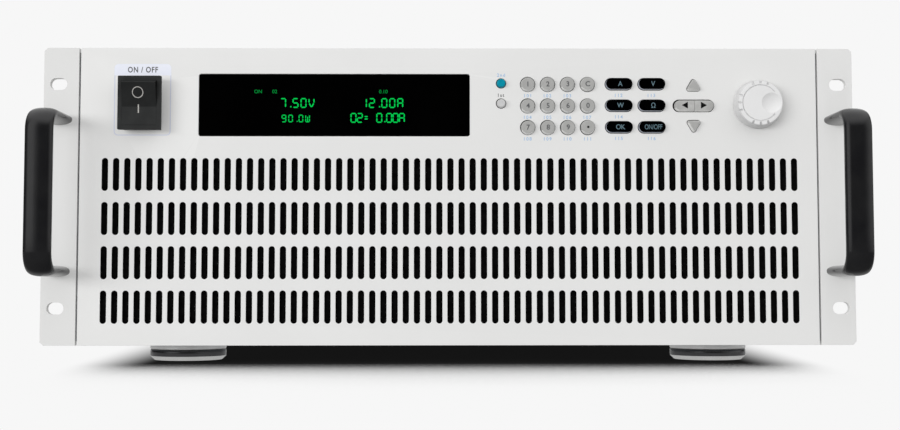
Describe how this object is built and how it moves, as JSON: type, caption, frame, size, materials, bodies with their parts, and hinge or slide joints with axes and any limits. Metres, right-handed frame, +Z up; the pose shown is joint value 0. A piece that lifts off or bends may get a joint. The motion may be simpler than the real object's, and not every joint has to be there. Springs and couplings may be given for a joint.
{
  "type": "electronic load",
  "caption": "Four-unit rack electronic load: pale slotted front, black display, keypad, knob, rocker switch, bow handles on rack ears, rear fans and input bars.",
  "frame": {"origin": "middle of the overall box on the floor under the foot pads", "axes": "front faces -Y, +X to the right seen from the front, +Z up"},
  "size_m": [0.4826, 0.7186, 0.188],
  "materials": {
    "panel_paint": "fine satin powder coat, warm white",
    "ear_paint": "fine satin powder coat, warm white",
    "black_anodised": "black anodised, satin",
    "bright_steel": "plated steel",
    "zinc_sheet": "light grey powder coat",
    "foot_plating": "satin plated shell with a polished side",
    "foot_rubber": "matte",
    "filter_foam": "open black foam",
    "window_acrylic": "tinted, polished",
    "circuit_board": "green solder mask",
    "silicone": "translucent grey",
    "grey_key": "moulded, fine satin",
    "black_key": "moulded, polished top",
    "teal_key": "translucent",
    "white_key": "moulded, fine satin",
    "switch_black": "moulded nylon",
    "rocker_black": "moulded nylon, satin",
    "encoder_metal": "plated",
    "knob_white": "moulded, soft satin",
    "sink_aluminium": "extruded, plain",
    "fan_black": "moulded",
    "terminal_black": "moulded",
    "copper_bar": "tinned copper edges, bare copper faces",
    "port_shell": "plated shells",
    "stud_brass": "bright"
  },
  "bodies": {
    "case": {"front_panel": "panel_paint", "left_rack_ear": "ear_paint", "right_rack_ear": "ear_paint", "left_handle": "black_anodised", "right_handle": "black_anodised", "handle_screws": "bright_steel", "case_screws": "bright_steel", "chassis_tray": "zinc_sheet", "top_cover": "zinc_sheet", "rear_panel": "zinc_sheet", "feet": "foot_plating", "foot_pads": "foot_rubber", "dust_filter": "filter_foam", "display_window": "window_acrylic", "display_module": "circuit_board", "keypad_board": "circuit_board", "power_boards": "circuit_board", "control_board": "circuit_board", "supply_board": "circuit_board", "keypad_mat": "silicone", "switch_housing": "switch_black", "encoder": "encoder_metal", "heat_sinks": "sink_aluminium", "fan_frames": "fan_black", "terminal_block": "terminal_black", "mains_inlet": "terminal_black", "positive_bar": "copper_bar", "negative_bar": "copper_bar", "signal_ports": "port_shell", "ground_stud": "stud_brass"},
    "knob": {"adjust_knob": "knob_white", "encoder_shaft": "bright_steel"},
    "rocker": {"power_rocker": "rocker_black"},
    "fan_1": {"fan_rotor_1": "fan_black"},
    "fan_2": {"fan_rotor_2": "fan_black"},
    "fan_3": {"fan_rotor_3": "fan_black"},
    "key_0": {"key_0": "grey_key"},
    "key_1": {"key_1": "grey_key"},
    "key_2": {"key_2": "grey_key"},
    "key_3": {"key_3": "grey_key"},
    "key_4": {"key_4": "grey_key"},
    "key_5": {"key_5": "grey_key"},
    "key_6": {"key_6": "grey_key"},
    "key_7": {"key_7": "grey_key"},
    "key_8": {"key_8": "grey_key"},
    "key_9": {"key_9": "grey_key"},
    "point_key": {"point_key": "grey_key"},
    "escape_key": {"escape_key": "grey_key"},
    "amps_key": {"amps_key": "black_key"},
    "volts_key": {"volts_key": "black_key"},
    "watts_key": {"watts_key": "black_key"},
    "ohms_key": {"ohms_key": "black_key"},
    "enter_key": {"enter_key": "black_key"},
    "input_key": {"input_key": "black_key"},
    "up_key": {"up_key": "grey_key"},
    "down_key": {"down_key": "grey_key"},
    "left_key": {"left_key": "grey_key"},
    "right_key": {"right_key": "grey_key"},
    "shift_key": {"shift_key": "teal_key"},
    "local_key": {"local_key": "white_key"}
  },
  "joints": [
    {"name": "key_0_press", "type": "slide", "parent": "case", "child": "key_0", "axis": [0, 1, 0], "range_m": [0, 0.001], "stiffness_N_per_m": 400},
    {"name": "key_1_press", "type": "slide", "parent": "case", "child": "key_1", "axis": [0, 1, 0], "range_m": [0, 0.001], "stiffness_N_per_m": 400},
    {"name": "key_2_press", "type": "slide", "parent": "case", "child": "key_2", "axis": [0, 1, 0], "range_m": [0, 0.001], "stiffness_N_per_m": 400},
    {"name": "key_3_press", "type": "slide", "parent": "case", "child": "key_3", "axis": [0, 1, 0], "range_m": [0, 0.001], "stiffness_N_per_m": 400},
    {"name": "key_4_press", "type": "slide", "parent": "case", "child": "key_4", "axis": [0, 1, 0], "range_m": [0, 0.001], "stiffness_N_per_m": 400},
    {"name": "key_5_press", "type": "slide", "parent": "case", "child": "key_5", "axis": [0, 1, 0], "range_m": [0, 0.001], "stiffness_N_per_m": 400},
    {"name": "key_6_press", "type": "slide", "parent": "case", "child": "key_6", "axis": [0, 1, 0], "range_m": [0, 0.001], "stiffness_N_per_m": 400},
    {"name": "key_7_press", "type": "slide", "parent": "case", "child": "key_7", "axis": [0, 1, 0], "range_m": [0, 0.001], "stiffness_N_per_m": 400},
    {"name": "key_8_press", "type": "slide", "parent": "case", "child": "key_8", "axis": [0, 1, 0], "range_m": [0, 0.001], "stiffness_N_per_m": 400},
    {"name": "key_9_press", "type": "slide", "parent": "case", "child": "key_9", "axis": [0, 1, 0], "range_m": [0, 0.001], "stiffness_N_per_m": 400},
    {"name": "point_key_press", "type": "slide", "parent": "case", "child": "point_key", "axis": [0, 1, 0], "range_m": [0, 0.001], "stiffness_N_per_m": 400},
    {"name": "escape_key_press", "type": "slide", "parent": "case", "child": "escape_key", "axis": [0, 1, 0], "range_m": [0, 0.001], "stiffness_N_per_m": 400},
    {"name": "amps_key_press", "type": "slide", "parent": "case", "child": "amps_key", "axis": [0, 1, 0], "range_m": [0, 0.001], "stiffness_N_per_m": 400},
    {"name": "volts_key_press", "type": "slide", "parent": "case", "child": "volts_key", "axis": [0, 1, 0], "range_m": [0, 0.001], "stiffness_N_per_m": 400},
    {"name": "watts_key_press", "type": "slide", "parent": "case", "child": "watts_key", "axis": [0, 1, 0], "range_m": [0, 0.001], "stiffness_N_per_m": 400},
    {"name": "ohms_key_press", "type": "slide", "parent": "case", "child": "ohms_key", "axis": [0, 1, 0], "range_m": [0, 0.001], "stiffness_N_per_m": 400},
    {"name": "enter_key_press", "type": "slide", "parent": "case", "child": "enter_key", "axis": [0, 1, 0], "range_m": [0, 0.001], "stiffness_N_per_m": 400},
    {"name": "input_key_press", "type": "slide", "parent": "case", "child": "input_key", "axis": [0, 1, 0], "range_m": [0, 0.001], "stiffness_N_per_m": 400},
    {"name": "up_key_press", "type": "slide", "parent": "case", "child": "up_key", "axis": [0, 1, 0], "range_m": [0, 0.001], "stiffness_N_per_m": 400},
    {"name": "down_key_press", "type": "slide", "parent": "case", "child": "down_key", "axis": [0, 1, 0], "range_m": [0, 0.001], "stiffness_N_per_m": 400},
    {"name": "left_key_press", "type": "slide", "parent": "case", "child": "left_key", "axis": [0, 1, 0], "range_m": [0, 0.001], "stiffness_N_per_m": 400},
    {"name": "right_key_press", "type": "slide", "parent": "case", "child": "right_key", "axis": [0, 1, 0], "range_m": [0, 0.001], "stiffness_N_per_m": 400},
    {"name": "shift_key_press", "type": "slide", "parent": "case", "child": "shift_key", "axis": [0, 1, 0], "range_m": [0, 0.001], "stiffness_N_per_m": 400},
    {"name": "local_key_press", "type": "slide", "parent": "case", "child": "local_key", "axis": [0, 1, 0], "range_m": [0, 0.001], "stiffness_N_per_m": 400},
    {"name": "rocker_tilt", "type": "hinge", "parent": "case", "child": "rocker", "pos_m": [-0.1826, -0.32365, 0.1539], "axis": [-1, 0, 0], "range_deg": [0, 14]},
    {"name": "knob_turn", "type": "hinge", "parent": "case", "child": "knob", "pos_m": [0.1842, -0.31865, 0.15415], "axis": [0, 1, 0], "continuous": true},
    {"name": "fan_1_spin", "type": "hinge", "parent": "case", "child": "fan_1", "pos_m": [-0.146, 0.30135, 0.1215], "axis": [0, 1, 0], "continuous": true},
    {"name": "fan_2_spin", "type": "hinge", "parent": "case", "child": "fan_2", "pos_m": [-0.024, 0.30135, 0.1215], "axis": [0, 1, 0], "continuous": true},
    {"name": "fan_3_spin", "type": "hinge", "parent": "case", "child": "fan_3", "pos_m": [0.098, 0.30135, 0.1215], "axis": [0, 1, 0], "continuous": true}
  ]
}
